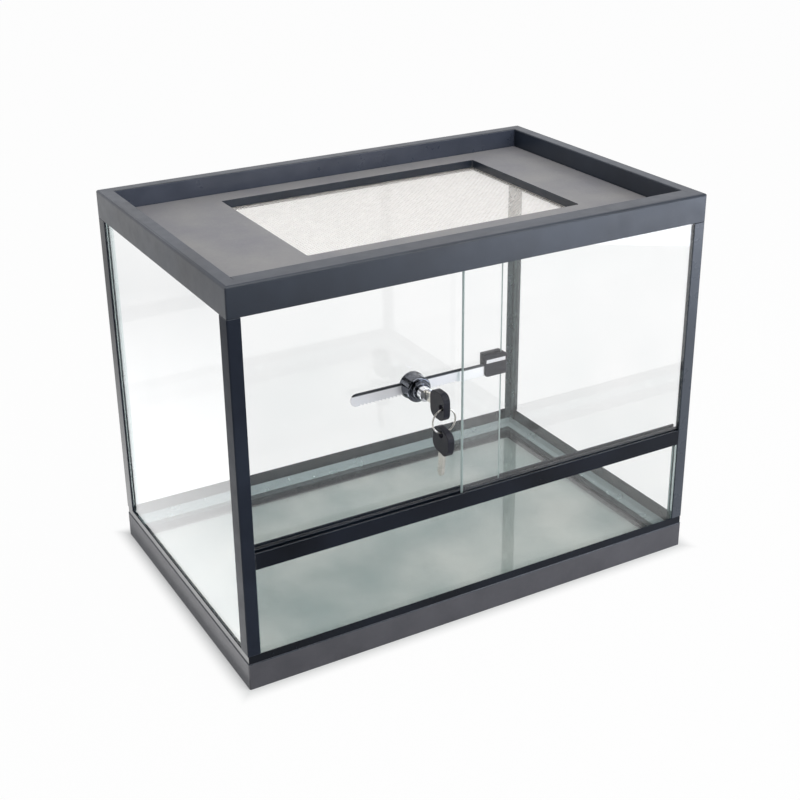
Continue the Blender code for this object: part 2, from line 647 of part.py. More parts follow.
def key(name):
    """A blade with its bitting and a moulded head, laid out from the centre of the ring hole towards the tip."""
    seat = HOLE_FROM_SEAT
    tip = seat + BLADE_LENGTH
    half = BLADE_WIDTH / 2
    blade_loop = [(seat - BLADE_SEAT, -half), (tip - 0.0022, -half), (tip, -0.0012), (tip, 0.0004)]
    cuts = [0.0010, 0.0018, 0.0012, 0.0022]
    for i, deep in enumerate(cuts):
        centre = tip - 0.0035 - i * 0.0030
        blade_loop += [(centre + 0.0012, half), (centre + 0.0003, half - deep)]
        blade_loop += [(centre - 0.0003, half - deep), (centre - 0.0012, half)]
    blade_loop += [(seat - BLADE_SEAT, half)]
    thick = BLADE_THICK / 2
    blade = flat_shape(f"{name}_blade", [blade_loop], -thick, thick, STEEL)
    across = HEAD_WIDTH / 2
    head_loop = rounded(-HOLE_FROM_END, -across, seat, across, HEAD_ROUND, 5)
    head = flat_shape(f"{name}_head", [head_loop], -HEAD_THICK / 2, HEAD_THICK / 2, KEY_PLASTIC)
    soften(head, 0.0009)
    hole = flat_shape(f"{name}_ring_hole", [arc(0, 0, HOLE_RADIUS, 0, 337.5, 15)], -HEAD_THICK, HEAD_THICK, STEEL)
    low = (seat - BLADE_SEAT - GAP, -half - GAP, -thick - GAP)
    pocket = block(f"{name}_blade_pocket", low, (seat + BLADE_SEAT, half + GAP, thick + GAP))
    cut(head, hole)
    cut(head, pocket)
    return [blade, head, hole, pocket]


def key_ring():
    """One turn of round wire that hangs in the key's hole."""
    curve = bpy.data.curves.new("key_ring", "CURVE")
    curve.dimensions = "3D"
    curve.bevel_depth = RING_WIRE
    curve.bevel_resolution = 2
    spline = curve.splines.new("POLY")
    points = arc(0, 0, RING_RADIUS, 0, 350, 35)
    spline.points.add(len(points) - 1)
    spline.use_cyclic_u = True
    for point, (x, z) in zip(spline.points, points):
        point.co = (x, 0.0, z, 1.0)
    ring = bpy.data.objects.new("key_ring", mesh_of(bpy.data.objects.new("key_ring", curve)))
    ring.location = (LOCK_X, KEY_HOLE_Y, LOCK_Z - RING_SEAT - RING_RADIUS)
    ring.data.shade_smooth()
    return finish(ring, STEEL)


def pivot(name, at, parent=None, turn=(0.0, 0.0, 0.0)):
    """An empty on a joint's axis."""
    empty = bpy.data.objects.new(name, None)
    empty.empty_display_size = 0.01
    empty.location = Vector(at) - (parent_place(parent) if parent else Vector())
    empty.rotation_euler = turn
    empty.parent = parent
    TERRARIUM.objects.link(empty)
    return empty


def parent_place(obj):
    place = Vector()
    while obj:
        place += obj.location
        obj = obj.parent
    return place


def hang(objects, parent):
    """Parents objects that are placed in the tank's frame."""
    for obj in objects:
        obj.location -= parent_place(parent)
        obj.parent = parent


def mount_key(pieces, parent, turn):
    """Parents a key's pieces, which are laid out from the ring hole, to a pivot at that hole."""
    for piece in pieces:
        piece.location = turn @ piece.location
        piece.rotation_euler = turn.to_euler()
        piece.parent = parent


def helpers_of(obj):
    return [m.object for m in obj.modifiers if m.type == "BOOLEAN"]


def with_helpers(objects):
    found = []
    for obj in objects:
        found += [obj] + helpers_of(obj)
    return found


def build():
    origin = pivot("terrarium_origin", (0, 0, 0))
    tank = [bottom_frame(), door_sill(), top_frame()] + tank_panes() + silicone_seams()
    for end, y in (("front", -1), ("back", 1)):
        for side, x in (("left", -1), ("right", 1)):
            tank.append(corner_post(f"{end}_{side}_post", x, y))
    hang(with_helpers(tank), origin)

    lid = pivot("lid_axis", (sum(VENT_X) / 2, sum(VENT_Y) / 2, DECK_TOP), origin)
    hang(with_helpers(screen_lid()), lid)

    right_door = pivot("right_door_axis", (BETWEEN_SIDES, OUTER_DOOR_Y, DOOR_BOTTOM), origin)
    hang([door_pane("right_door_pane", BETWEEN_SIDES - DOOR_WIDTH, OUTER_DOOR_Y)], right_door)

    left_door = pivot("left_door_axis", (-BETWEEN_SIDES, INNER_DOOR_Y, DOOR_BOTTOM), origin)
    left_pieces = [door_pane("left_door_pane", -BETWEEN_SIDES, INNER_DOOR_Y), ratchet_bar(), bar_clip()]
    hang(with_helpers(left_pieces), left_door)

    lock = pivot("lock_axis", (LOCK_X, BAR_Y, BAR_Z), left_door)
    hang(with_helpers([lock_housing(), lock_pawl()]), lock)
    plug = pivot("key_axis", (LOCK_X, KEY_HOLE_Y, LOCK_Z), lock)
    hang(with_helpers([lock_plug()]), plug)
    mount_key(key("key"), plug, UPRIGHT)

    ring = pivot("ring_axis", (LOCK_X, KEY_HOLE_Y, LOCK_Z), plug)
    hang([key_ring()], ring)
    hole = (LOCK_X, KEY_HOLE_Y, SPARE_HOLE_Z)
    spare = pivot("spare_key_axis", hole, ring, (SPARE_TILT, 0.0, 0.0))
    mount_key(key("spare_key"), spare, HANGING)
    return origin


def centre_footprint(origin):
    """Moves the assembly so that the origin is the middle of its whole footprint, keys included."""
    bpy.context.view_layer.update()
    graph = bpy.context.evaluated_depsgraph_get()
    reach = []
    for obj in TERRARIUM.objects:
        if obj.type == "MESH":
            world = obj.evaluated_get(graph)
            reach += [(world.matrix_world @ vertex.co).y for vertex in world.data.vertices]
    origin.location.y = -(min(reach) + max(reach)) / 2


build_origin = build()
centre_footprint(build_origin)
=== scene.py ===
# %% [markdown]
# # A glass terrarium in a moulded frame
#
# The tank is five panes of float glass held by black ABS mouldings, with two glass doors that slide in
# grooves, a drop-in lid with a woven steel screen, and a ratchet lock with its keys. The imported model
# already has every solid in the right place, so nothing is placed by eye here. This script dresses the
# model: each part gets the small rounded edges, the true thickness and the finish of the real one.

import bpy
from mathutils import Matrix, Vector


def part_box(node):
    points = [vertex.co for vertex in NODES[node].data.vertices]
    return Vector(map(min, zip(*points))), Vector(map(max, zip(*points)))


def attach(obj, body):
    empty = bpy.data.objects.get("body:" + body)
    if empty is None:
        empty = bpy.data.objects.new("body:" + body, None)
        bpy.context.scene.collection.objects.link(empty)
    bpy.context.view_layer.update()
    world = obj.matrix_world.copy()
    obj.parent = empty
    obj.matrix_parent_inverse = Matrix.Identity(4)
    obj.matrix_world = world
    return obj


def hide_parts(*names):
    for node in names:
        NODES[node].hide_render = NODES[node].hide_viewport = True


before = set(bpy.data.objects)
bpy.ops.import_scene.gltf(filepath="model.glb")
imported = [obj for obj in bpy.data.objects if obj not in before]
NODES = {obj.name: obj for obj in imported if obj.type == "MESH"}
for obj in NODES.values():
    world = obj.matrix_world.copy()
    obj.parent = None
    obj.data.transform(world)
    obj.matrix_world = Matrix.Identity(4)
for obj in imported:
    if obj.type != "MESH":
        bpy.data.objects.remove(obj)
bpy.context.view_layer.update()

# %% Modules and units
import math

import bpy
from mathutils import Matrix, Vector

MM = 0.001

# %% [markdown]
# ## Working by hand, in code
#
# Operators act on whatever is selected, so every step begins with nothing selected. A finished piece
# has its place in its mesh and its object at the origin. These few helpers keep those habits: start
# clean, put a piece's place into its mesh, enter edit mode with everything selected, apply a modifier,
# and hand the piece over to the body it moves with.

# %% Helpers: selection and place
def clean_start():
    if bpy.context.mode != "OBJECT":
        bpy.ops.object.mode_set(mode="OBJECT")
    bpy.ops.object.select_all(action="DESELECT")


def only(piece):
    clean_start()
    piece.select_set(True)
    bpy.context.view_layer.objects.active = piece
    return piece


def settle(piece):
    """Puts the piece's place, turn and scale into its mesh."""
    only(piece)
    bpy.ops.object.transform_apply(location=True, rotation=True, scale=True)
    return piece


# %% Helpers: edit mode and modifiers
def edit_all(piece):
    only(piece)
    bpy.ops.object.mode_set(mode="EDIT")
    bpy.ops.mesh.select_all(action="SELECT")


def apply_modifier(piece, kind, **settings):
    only(piece)
    modifier = piece.modifiers.new(kind.lower(), kind)
    for key, value in settings.items():
        setattr(modifier, key, value)
    bpy.ops.object.modifier_apply(modifier=modifier.name)
    return piece


def smooth(piece, degrees=38):
    """Rounds shade smoothly, while big flat faces keep their own true normals and so stay flat."""
    only(piece)
    bpy.ops.object.shade_smooth_by_angle(angle=math.radians(degrees))
    return apply_modifier(piece, "WEIGHTED_NORMAL", weight=80, keep_sharp=True)


# %% Helper: a finished piece joins its body
def hand_over(piece, body, nodes):
    """The piece stands for these CAD nodes, which it hides, and rides on the body."""
    clean_start()
    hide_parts(*nodes)
    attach(piece, body)
    print(f"{piece.name}: {len(piece.data.polygons)} faces, rides on {body}")
    return piece


# %% [markdown]
# ## Colours and nodes
#
# Colours are written as sRGB hex, the way a paint chart gives them, and turned into the linear values
# that Blender's sockets take. One function adds any node, sets its options and fills or links its
# inputs. Real finishes are never even, so nearly every material here is a plain surface with random
# blotches that change its colour and gloss a little, or raise it by some hundredths of a millimetre.
# A painted image could do that too, but it would need a flat layout of each piece, and noise in real
# millimetres fits them all.

# %% Helpers: colours and nodes
def linear(colour):
    """The four linear values of an sRGB colour written as #rrggbb."""
    channels = [int(colour[i : i + 2], 16) / 255 for i in (1, 3, 5)]
    flat = [c / 12.92 if c <= 0.04045 else ((c + 0.055) / 1.055) ** 2.4 for c in channels]
    return (*flat, 1.0)


def add(tree, kind, inputs=(), **options):
    """Adds a node. An input given a socket is linked to it, and any other value is set on it."""
    made = tree.nodes.new(kind)
    for key, value in options.items():
        setattr(made, key, value)
    for key, value in dict(inputs).items():
        if isinstance(value, bpy.types.NodeSocket):
            tree.links.new(value, made.inputs[key])
        else:
            made.inputs[key].default_value = value
    return made


print("#808080 is", [round(value, 3) for value in linear("#808080")])


# %% Helpers: a surface and its blotches
def new_material(name, surface):
    """A material with one Principled surface, its uniform values set straight on the shader."""
    made = bpy.data.materials.new(name)
    made.use_nodes = True
    tree = made.node_tree
    shader = tree.nodes["Principled BSDF"]
    for key, value in surface.items():
        shader.inputs[key].default_value = value
    place = add(tree, "ShaderNodeTexCoord").outputs["Object"]
    return made, tree, shader, place


def drive(tree, shader, factor, sockets):
    """Each named socket goes from its first value to its second as the factor goes from 0 to 1."""
    for socket, (low, high) in sockets.items():
        if isinstance(low, str):
            inputs = {0: factor, 6: linear(low), 7: linear(high)}
            mixed = add(tree, "ShaderNodeMix", inputs, data_type="RGBA").outputs[2]
        else:
            inputs = {"Value": factor, "To Min": low, "To Max": high}
            mixed = add(tree, "ShaderNodeMapRange", inputs).outputs[0]
        tree.links.new(mixed, shader.inputs[socket])


def blotches(tree, shader, place, size, detail, sockets=(), depth=0.0):
    """Random blotches this many metres across drive the sockets and raise the surface by the depth."""
    inputs = {"Vector": place, "Scale": 1.0 / size, "Detail": detail}
    noise = add(tree, "ShaderNodeTexNoise", inputs).outputs["Fac"]
    # Noise keeps near its middle, so it is stretched. It isn't clamped, because a bump would show the
    # cut-off peaks as flat spots.
    inputs = {"Value": noise, "From Min": 0.3, "From Max": 0.7}
    height = add(tree, "ShaderNodeMapRange", inputs, clamp=False).outputs[0]
    drive(tree, shader, height, dict(sockets))
    if depth:
        bump = add(tree, "ShaderNodeBump", {"Height": height, "Distance": depth, "Strength": 1.0})
        tree.links.new(bump.outputs[0], shader.inputs["Normal"])


# %% [markdown]
# ## The mouldings' plastic
#
# Every dark part is ABS dyed black with a hint of blue, but the moulds differ. The rim is satin, with a
# faint flow ripple that makes reflections waver. The back trims, the rail and the lip round the glass
# come from polished tools, so they are glossy and look blacker. The front trims are copies of the
# satin: the right one painted paler, painted light, and the left one with its reflection nearly off,
# a painted shade. The base is matt and scuffed grey from standing. The lid has the fine grain of a
# spark-eroded tool, and its flat faces are a dull and slightly warm grey, a painted reflection of the
# white room. The rounded edges have a finish of their own, smoother and paler: partly rubbed by cloths
# and hands, partly a painted highlight.

# %% Materials: eight finishes of ABS
def black_abs(name, dark, pale, gloss, cloud=60, ripple=3.5, depth=0.03, **surface):
    """Moulded ABS: two tones in soft clouds, a range of roughness and a ripple, sizes in millimetres."""
    made, *parts = new_material(name, {"IOR": 1.54, **surface})
    blotches(*parts, cloud * MM, 4.0, {"Base Color": (dark, pale)})
    blotches(*parts, 3 * ripple * MM, 4.0, {"Roughness": gloss})
    blotches(*parts, ripple * MM, 3.0, depth=depth * MM)
    return made


# Dust lies on the matt faces and whitens them at a glancing angle.
DUST = {"Sheen Weight": 0.35, "Sheen Roughness": 0.4}

# Satin: shallow flow ripples about 3.5 mm across and a slight haze from handling.
SATIN = black_abs("satin_black_abs", "#1c222c", "#2c3440", (0.3, 0.38), depth=0.014)
# Polished: deep black and glossy, with a long faint ripple.
SHINE = {"Specular IOR Level": 0.16}
POLISHED = black_abs("polished_black_abs", "#0d1118", "#181d27", (0.17, 0.23), 60, 6.0, 0.008, **SHINE)
# Matt: grey with scuffs, a grain of 0.4 mm drawn at 1 mm so that it shows.
MATT = black_abs("matt_black_abs", "#414045", "#4d4c51", (0.54, 0.62), 25, 1.0, 0.035, **DUST)
# Grained: a matt spark-eroded grain of 0.3 mm, drawn at 0.8 mm so that it shows. Its pale grey is a
# painted reflection of the white room.
GRAINED_PAINTED_REFLECTION = black_abs("grained_abs_painted_reflection", "#79777b", "#8e8b88", (0.48, 0.58), 45, 0.8, 0.028, **DUST)
# Edges: the same plastic worn smooth along an edge and paler, partly from wear and partly a painted
# highlight.
EDGE_WEAR_AND_HIGHLIGHT = black_abs("abs_edge_wear_and_painted_highlight", "#2b313a", "#414852", (0.2, 0.3), 15, 2.0, 0.004)
# The rim's inner back wall: the same black plastic painted paler, a painted reflection of the lid in front
# of it.
INNER_WALL_PAINTED_LIGHT = black_abs("inner_wall_abs_painted_light", "#3a404d", "#4d5361", (0.26, 0.36), 40, 3.5, 0.014)
# Front left trim: a copy of the satin with its reflection nearly off, so it stays dark at a glancing angle
# too, a painted shade.
FLAT = {"Specular IOR Level": 0.04}
TRIM_PAINTED_SHADE = black_abs("trim_abs_painted_shade", "#22262f", "#2c313b", (0.3, 0.4), 40, 3.5, 0.014, **FLAT)
# Front right trim: smoother all over, like the edges, and painted paler evenly, painted light.
TRIM_PAINTED_LIGHT = black_abs("trim_abs_painted_light", "#30363f", "#3c434d", (0.25, 0.31), 60, 6.0, 0.008)
print("plastics:", [m.name for m in (SATIN, POLISHED, MATT, GRAINED_PAINTED_REFLECTION, EDGE_WEAR_AND_HIGHLIGHT, INNER_WALL_PAINTED_LIGHT, TRIM_PAINTED_SHADE, TRIM_PAINTED_LIGHT)])

# %% [markdown]
# ## Mouldings from the CAD solids
#
# A tool maker never leaves a dead sharp edge: plastic shrinks away from it and it chips. The CAD solids
# have the right sections but sharp edges, which catch no light. Modelling each section again would
# only repeat them, so each moulding starts as a copy of its solid. Its loose triangles are merged, the
# flat ones are dissolved into whole faces, and a Bevel modifier rounds every edge sharper than its
# angle. The highlight on that small round is what makes the edge look moulded.

# %% Helper: a moulding with rounded edges
MERGE_GAP = 0.004 * MM
FLAT_ENOUGH = math.radians(1.0)


def moulding(name, node, radius, material, edges=None, sharper_than=40):
    """A copy of the node's solid with rounded edges, whose rounds may have a finish of their own."""
    clean_start()
    piece = bpy.data.objects.new(name, NODES[node].data.copy())
    piece.data.name = name
    bpy.context.scene.collection.objects.link(piece)
    edit_all(piece)
    bpy.ops.mesh.remove_doubles(threshold=MERGE_GAP)
    bpy.ops.mesh.dissolve_limited(angle_limit=FLAT_ENOUGH)
    bpy.ops.object.mode_set(mode="OBJECT")
    piece.data.materials.clear()
    piece.data.materials.append(material)
    piece.data.materials.append(edges or material)
    limit = math.radians(sharper_than)
    bevel = {"width": radius, "segments": 2, "limit_method": "ANGLE", "angle_limit": limit}
    apply_modifier(piece, "BEVEL", use_clamp_overlap=True, material=1, **bevel)
    return smooth(piece)


print(f"corners nearer than {MERGE_GAP / MM:.3f} mm are merged")

# %% [markdown]
# ## The frame
#
# Top rim, base, cross rail and the four corner trims carry the whole tank. The rim and the base are
# the pieces the eye reads first, with a long highlight along their outer edges. They could be swept
# along a path, but the solids have the grooves and ledges already, so they are bevelled copies. One
# moulding shows several finishes, so its faces are sorted by where they lie: the base's lip and inner
# walls are polished, and the rim's inner back wall is painted paler, a painted reflection of the lid.

# %% Frame mouldings
FRAME_PIECES = {
    "rim": ("top_frame", 0.45 * MM, SATIN),
    "base": ("bottom_frame", 0.3 * MM, MATT),
    "cross_rail": ("door_sill", 0.25 * MM, POLISHED),
    # The two front trims are shaded and lit copies of one plastic: painted shade on the left, painted
    # light on the right.
    "front_left_trim": ("front_left_post", 0.3 * MM, TRIM_PAINTED_SHADE),
    "front_right_trim": ("front_right_post", 0.3 * MM, TRIM_PAINTED_LIGHT),
    "back_left_trim": ("back_left_post", 0.3 * MM, POLISHED),
    "back_right_trim": ("back_right_post", 0.3 * MM, POLISHED),
}
LIP_START = 21 * MM
TANK_CENTRE = Vector((0.0, 23.3 * MM, 0.0))


def faces_inwards(face):
    """True for an upright face that looks towards the middle of the tank."""
    level = Vector((face.normal.x, face.normal.y, 0.0))
    return level.length > 0.9 and level.dot(TANK_CENTRE - face.center) > 0.0


for name, (node, radius, finish) in FRAME_PIECES.items():
    piece = moulding(name, node, radius, finish, POLISHED if name == "rim" else EDGE_WEAR_AND_HIGHLIGHT)
    if name in ("rim", "base"):
        # The rim's inner back wall takes a copy painted paler, a painted reflection; the base's lip and
        # inner walls take polished black.
        piece.data.materials.append(INNER_WALL_PAINTED_LIGHT if name == "rim" else POLISHED)
        for face in piece.data.polygons:
            lip = name == "base" and face.center.z > LIP_START + MM
            rear = name == "base" or face.normal.y < -0.9
            if lip or (rear and faces_inwards(face)):
                face.material_index = 2
    hand_over(piece, "tank", [node])

# %% [markdown]
# ## The lid
#
# The lid is a separate flat moulding that drops into the rim. Its vent opening is sunk, so the opening
# has a short wall on all four sides, and a thin ring underneath clamps the screen. Both are bevelled
# copies like the frame. A spark-eroded grain is only cut where the tool is flat, so the flat faces are
# grained and the upright faces are satin. The grained faces are painted pale grey, a painted
# reflection of the white room, so the dark satin walls make the opening's dark outline.

# %% Lid mouldings
LID_PIECES = {"deck": ("lid_deck", 0.35 * MM), "screen_clamp": ("mesh_retainer", 0.3 * MM)}
for name, (node, radius) in LID_PIECES.items():
    piece = moulding(name, node, radius, GRAINED_PAINTED_REFLECTION, EDGE_WEAR_AND_HIGHLIGHT)
    # Flat faces keep the grained finish, painted pale grey as a painted reflection; upright faces take
    # satin black.
    piece.data.materials.append(SATIN)
    for face in piece.data.polygons:
        if abs(face.normal.z) < 0.2:
            face.material_index = 2
    hand_over(piece, "lid", [node])

# %% [markdown]
# ## Glass
#
# Float glass is flat to a hair, so it has no ripple of its own. What shows that it is there is its
# edge: the sheet is cut, then ground, which leaves a frosted grey-green face with a small chamfer. The
# faces carry faint cloudy smears from wiping. A single face would be simpler, but it has no edge and
# bends no light, so a pane is a stretched cube with its edges bevelled in edit mode. The doors' narrow
# faces, which nothing covers, get the ground finish. Light passes to what is behind a pane, so for
# shadow rays the glass turns transparent, as a thin clear pane nearly is.

# %% Materials: float glass and its ground edge
def let_shadows_through(tree, shader, tint):
    """For shadow rays the surface is a clear tinted film, so the pane lets the lamps' light in."""
    film = add(tree, "ShaderNodeBsdfTransparent", {"Color": linear(tint)})
    path = add(tree, "ShaderNodeLightPath")
    inputs = {0: path.outputs["Is Shadow Ray"], 1: shader.outputs[0], 2: film.outputs[0]}
    mixed = add(tree, "ShaderNodeMixShader", inputs)
    tree.links.new(mixed.outputs[0], tree.nodes["Material Output"].inputs["Surface"])


def float_glass(name, base_tint, blotch_tint):
    # Clear soda-lime float glass: index 1.52, wiped but not spotless, with broad faint clouds between two
    # tints. On the floor pane the first tint is grey-green, a painted shade.
    surface = {"IOR": 1.52, "Transmission Weight": 1.0, "Sheen Weight": 0.05, "Sheen Roughness": 0.4}
    made, tree, shader, place = new_material(name, surface)
    blotch_tints = {"Base Color": (base_tint, blotch_tint), "Roughness": (0.0, 0.02)}
    blotches(tree, shader, place, 90 * MM, 4.0, blotch_tints)
    let_shadows_through(tree, shader, "#fbfdfc")
    return made


def ground_edge():
    # The same glass after a fine grinding belt: frosted, pale grey-green, fine streaks along the edge.
    surface = {"Base Color": linear("#c6d8d5"), "IOR": 1.52, "Transmission Weight": 0.2}
    made, tree, shader, place = new_material("ground_glass_edge", surface)
    blotches(tree, shader, place, 0.5 * MM, 2.0, {"Roughness": (0.3, 0.55)}, 0.008 * MM)
    let_shadows_through(tree, shader, "#b4c8c3")
    return made


CLEAR = float_glass("float_glass", "#ffffff", "#fbfcfc")
# The floor pane is the same glass, greyed and tinted green in broad clouds: a painted shade standing in
# for the shadow under the tank.
FLOOR_GLASS_PAINTED_SHADE = float_glass("float_glass_painted_shade", "#bdcfcf", "#f8fbf8")
EDGE = ground_edge()
print("glass:", CLEAR.name, FLOOR_GLASS_PAINTED_SHADE.name, EDGE.name)


# %% Helper: a box between two corners
def box_between(name, low, high):
    """A cube primitive stretched between two corners."""
    clean_start()
    low, high = Vector(low), Vector(high)
    bpy.ops.mesh.primitive_cube_add(size=1.0, location=(low + high) / 2)
    piece = bpy.context.active_object
    piece.name = piece.data.name = name
    piece.scale = high - low
    return settle(piece)


# %% Panes
def pane(name, node):
    """A sheet of glass as large as its solid, whose narrow faces and chamfers are finished apart."""
    low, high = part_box(node)
    piece = box_between(name, low, high)
    size = high - low
    thin = min(range(3), key=lambda axis: size[axis])
    edit_all(piece)
    bpy.ops.mesh.bevel(offset=0.4 * MM, segments=1)
    bpy.ops.object.mode_set(mode="OBJECT")
    # The pane that lies flat is the floor, whose glass carries the painted shade.
    sheet = FLOOR_GLASS_PAINTED_SHADE if thin == 2 else CLEAR
    piece.data.materials.append(sheet)
    piece.data.materials.append(EDGE if "door" in name else sheet)
    for face in piece.data.polygons:
        face.material_index = 0 if abs(face.normal[thin]) > 0.98 else 1
    return piece


PANES = {
    "left_side_glass": ("left_pane", "tank"),
    "right_side_glass": ("right_pane", "tank"),
    "back_glass": ("back_pane", "tank"),
    "floor_glass": ("floor_pane", "tank"),
    "lower_front_glass": ("front_lower_pane", "tank"),
    "left_door_glass": ("left_door_pane", "left_door"),
    "right_door_glass": ("right_door_pane", "right_door"),
}
for name, (node, body) in PANES.items():
    piece = pane(name, node)
    thickness = min(piece.dimensions)
    print(f"{name}: {thickness / MM:.1f} mm thick")
    hand_over(piece, body, [node])

# %% [markdown]
# ## Silicone seams
#
# The panes are glued with clear silicone, drawn along each inside corner and smoothed with a wet
# finger. The dark frame shows through it, so it reads as a few thin pale and dark lines, and its
# surface is never quite even. A displaced strip could show the waves as shape, but they are under
# 0.1 mm, so a softened copy of the solid with a bump does it.

# %% Silicone
def silicone(name, clear):
    # Clear acetoxy silicone: translucent, satin, with slow waves from the finger that tooled it. The
    # index is low because it wets the glass, so its own faces hardly reflect.
    surface = {"Base Color": linear("#dce8e8"), "IOR": 1.12, "Transmission Weight": clear}
    made, tree, shader, place = new_material(name, surface)
    blotches(tree, shader, place, 14 * MM, 3.0, {"Roughness": (0.12, 0.3)}, 0.08 * MM)
    let_shadows_through(tree, shader, "#dfe8e6")
    return made


SEAMS = ["floor_seam", "front_left_seam", "front_right_seam", "back_left_seam", "back_right_seam"]
UPRIGHT = silicone("clear_silicone", 0.97)
# Dust settles in the bead round the floor, which makes it paler and less clear.
DUSTED = silicone("dusted_silicone", 0.7)
for node in SEAMS:
    finish = DUSTED if node == "floor_seam" else UPRIGHT
    bead = moulding(f"{node}_bead", node, 0.5 * MM, finish, sharper_than=50)
    hand_over(bead, "tank", [node])

# %% [markdown]
# ## The woven screen
#
# The vent is closed with plain-weave steel wire: each wire goes over one crossing wire and under the
# next. Seen from a distance it is a bright sparkling veil, and a flat sheet with holes would look like
# punched card. So one crimped wire is drawn, by extruding a small face from crossing to crossing, up
# and down by turns. An Array modifier repeats it across the screen, and a second set runs the other
# way with its crimps opposed.

# %% Material: bright steel wire
def wire_steel():
    # Bright-drawn stainless wire: pale, fairly smooth, each length a little different in tone.
    made, *parts = new_material("bright_steel_wire", {"Metallic": 1.0})
    tones = {"Base Color": ("#f2ece6", "#fffaf4"), "Roughness": (0.28, 0.42)}
    blotches(*parts, 5 * MM, 2.0, tones)
    return made


WIRE = wire_steel()
print("wire:", WIRE.name)

# %% Screen: one crimped wire, repeated
# Coarser than a real fly screen of about half this pitch, so that the weave shows.
PITCH = 2.4 * MM
WIRE_RADIUS = 0.19 * MM
print(f"weave: {2 * WIRE_RADIUS / MM:.2f} mm wires every {PITCH / MM:.1f} mm")


def crimped_wire(start, along, crossings, first):
    """A four-sided wire that steps from crossing to crossing, up then down."""
    clean_start()
    place = start + Vector((0.0, 0.0, first * WIRE_RADIUS))
    turn = (0.0, math.pi / 2, 0.0) if along.x else (math.pi / 2, 0.0, 0.0)
    bpy.ops.mesh.primitive_circle_add(
        vertices=4, radius=WIRE_RADIUS, fill_type="NGON", location=place, rotation=turn
    )
    wire = settle(bpy.context.active_object)
    edit_all(wire)
    for i in range(crossings - 1):
        rise = 2 * WIRE_RADIUS * (first if i % 2 else -first)
        step = along * PITCH + Vector((0.0, 0.0, rise))
        bpy.ops.mesh.extrude_region_move(TRANSFORM_OT_translate={"value": step})
    bpy.ops.mesh.select_all(action="SELECT")
    bpy.ops.mesh.normals_make_consistent(inside=False)
    bpy.ops.object.mode_set(mode="OBJECT")
    return wire


def wire_set(low, along, across, crossings, rows, sign):
    """Wires side by side, every second one crimped the other way."""
    made = []
    for phase in (0, 1):
        start = low + across * PITCH * phase
        wire = crimped_wire(start, along, crossings, sign if phase == 0 else -sign)
        count = (rows + 1 - phase) // 2
        offset = tuple(across * 2 * PITCH)
        options = {"use_relative_offset": False, "use_constant_offset": True}
        made.append(apply_modifier(wire, "ARRAY", count=count, constant_offset_displace=offset, **options))
    return made


# %% Screen: both sets joined
low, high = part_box("screen_mesh")
X, Y = Vector((1.0, 0.0, 0.0)), Vector((0.0, 1.0, 0.0))
MARGIN = 1.0 * MM
columns = int((high.x - low.x - 2 * MARGIN) / PITCH) + 1
rows = int((high.y - low.y - 2 * MARGIN) / PITCH) + 1
span = Vector(((columns - 1) * PITCH, (rows - 1) * PITCH, 0.0))
corner = (low + high - span) / 2
wires = wire_set(corner, X, Y, columns, rows, 1) + wire_set(corner, Y, X, rows, columns, -1)
clean_start()
for wire in wires:
    wire.select_set(True)
bpy.context.view_layer.objects.active = wires[0]
bpy.ops.object.join()
screen = wires[0]
screen.name = screen.data.name = "woven_screen"
screen.data.materials.append(WIRE)
settle(screen)
bpy.ops.object.shade_smooth()
hand_over(screen, "lid", ["screen_mesh"])
print("screen:", columns, "x", rows, "wires")

# %% [markdown]
# ## Metal and key plastic
#
# The lock is die-cast zinc, polished and plated with chrome, which is a near-perfect mirror in which
# the room shows as hard black and white shapes. The key blades are nickel-plated brass, duller and
# finely scratched from the lock. The key heads are a tough satin nylon. Painting those shapes on would
# fix them to one view, so most metals stay plain and low in roughness, and the room does the rest.
# Two are painted: the housing's chrome is painted darker, a painted reflection of the dark side of the
# room, and the bar is painted white with a dark top edge, a painted glare and a painted shade.

# %% Materials: chrome, nickel and nylon
def chrome(name, colour):
    # Chrome plate: mirror-like, a trace of blue, with very slight waviness under the plating.
    made, *parts = new_material(name, {"Base Color": linear(colour), "Metallic": 1.0})
    blotches(*parts, 4 * MM, 2.0, {"Roughness": (0.04, 0.1)}, 0.05 * MM)
    return made


def nickel():
    # Nickel plate on brass: warmer and duller than chrome, with fine scratches along the blade.
    surface = {"Base Color": linear("#dedbd3"), "Metallic": 1.0}
    made, *parts = new_material("nickel_plate", surface)
    blotches(*parts, 0.6 * MM, 3.0, {"Roughness": (0.18, 0.36)}, 0.004 * MM)
    return made


def plated_bar():
    # The same plate on a rolled strip, shaded half as metal with a soft gloss. Its face is painted near
    # white, a painted glare of the white room, and its top edge is painted dark, a painted shade.
    made, tree, shader, place = new_material("chrome_bar_painted_glare_and_shade", {"Metallic": 0.5})
    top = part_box("lock_bar")[1].z
    height = add(tree, "ShaderNodeSeparateXYZ", {0: place}).outputs["Z"]
    inputs = {"Value": height, "From Min": top - 2.0 * MM, "From Max": top - 1.3 * MM}
    dark_top_edge = add(tree, "ShaderNodeMapRange", inputs).outputs[0]
    drive(tree, shader, dark_top_edge, {"Base Color": ("#f8f8fa", "#3a3c41"), "Roughness": (0.32, 0.45)})
    blotches(tree, shader, place, 0.8 * MM, 2.0, depth=0.004 * MM)
    return made


def nylon():
    # Moulded nylon: black, satin, with a fine eroded grain.
    made, *parts = new_material("satin_nylon", {"IOR": 1.53, "Specular IOR Level": 0.25})
    grain = {"Base Color": ("#181820", "#26262f"), "Roughness": (0.3, 0.42)}
    blotches(*parts, 0.7 * MM, 2.0, grain, 0.008 * MM)
    return made


CHROME = chrome("bright_chrome", "#eeeff3")
